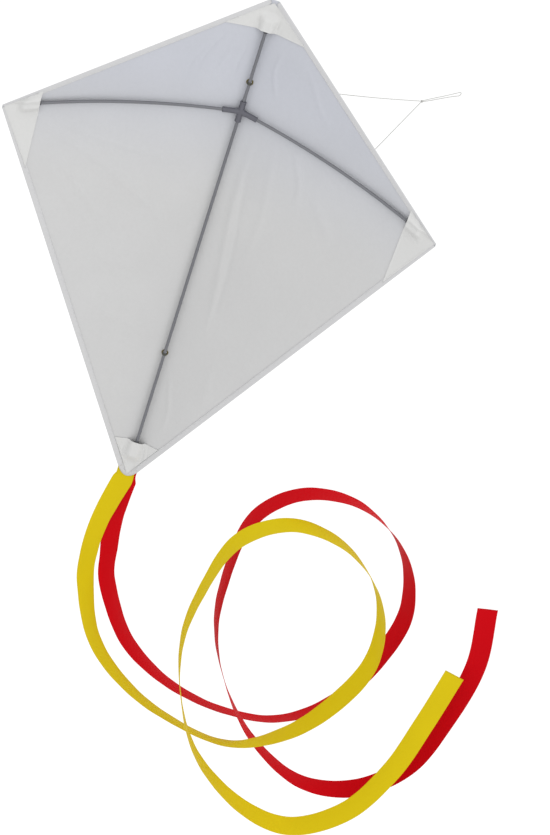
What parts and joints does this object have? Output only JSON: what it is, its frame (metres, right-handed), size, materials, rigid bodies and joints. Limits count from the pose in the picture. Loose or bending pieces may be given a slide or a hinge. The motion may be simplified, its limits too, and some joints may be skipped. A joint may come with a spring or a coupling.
{
  "type": "diamond kite",
  "caption": "Bowed diamond kite: white sail on a spine and swept spars, line bridle on the face, ribbon tails from the tail corner.",
  "frame": {"origin": "tip of the tow loop, where the flying line is tied", "axes": "+Z along the spine towards the nose, +Y out of the face of the sail, on the bridle's side, +X towards the right wing as seen from behind, on the rods' side"},
  "size_m": [0.8244, 0.2883, 1.1568],
  "materials": {
    "sail_cloth": "thin white polyester cloth",
    "patch_cloth": "doubled white polyester cloth",
    "rod": "glossy dark grey glass-fibre rod",
    "connector": "soft dark grey moulded plastic",
    "cap": "black vinyl",
    "brass": "polished brass",
    "line": "white twisted polyester line",
    "thread": "white sewing thread",
    "yellow_ribbon": "yellow woven ribbon",
    "red_ribbon": "red woven ribbon"
  },
  "bodies": {
    "bridle": {"bridle_upper_leg": "line", "bridle_lower_leg": "line", "bridle_knot": "line", "tow_loop": "line"},
    "airframe": {"sail": "sail_cloth", "hem_top_left": "patch_cloth", "hem_top_right": "patch_cloth", "hem_bottom_left": "patch_cloth", "hem_bottom_right": "patch_cloth", "nose_pocket": "patch_cloth", "tail_pocket": "patch_cloth", "left_pocket": "patch_cloth", "right_pocket": "patch_cloth", "spine_rod": "rod", "left_spar": "rod", "right_spar": "rod", "cross_connector": "connector", "nose_cap": "cap", "tail_cap": "cap", "left_tip_cap": "cap", "right_tip_cap": "cap", "upper_eyelet": "brass", "lower_eyelet": "brass", "upper_washer": "brass", "lower_washer": "brass", "upper_spine_knot": "line", "lower_spine_knot": "line", "yellow_tail_end": "yellow_ribbon", "red_tail_end": "red_ribbon", "tail_bar_tack": "thread"},
    "yellow_tail": {"yellow_tail": "yellow_ribbon"},
    "red_tail": {"red_tail": "red_ribbon"}
  },
  "joints": [
    {"name": "bridle_swing", "type": "hinge", "parent": "bridle", "child": "airframe", "pos_m": [-0.26377, -0.18469, -0.038], "axis": [0, 0, 1], "range_deg": [-135, 25]},
    {"name": "yellow_tail_swing", "type": "hinge", "parent": "airframe", "child": "yellow_tail", "pos_m": [-0.26377, -0.18559, -0.5895], "axis": [1, 0, 0], "range_deg": [-80, 80]},
    {"name": "red_tail_swing", "type": "hinge", "parent": "airframe", "child": "red_tail", "pos_m": [-0.26377, -0.18559, -0.5895], "axis": [1, 0, 0], "range_deg": [-80, 80]}
  ],
  "couplings": [
    {"joint": "yellow_tail_swing", "follows": "red_tail_swing", "ratio": 1}
  ]
}
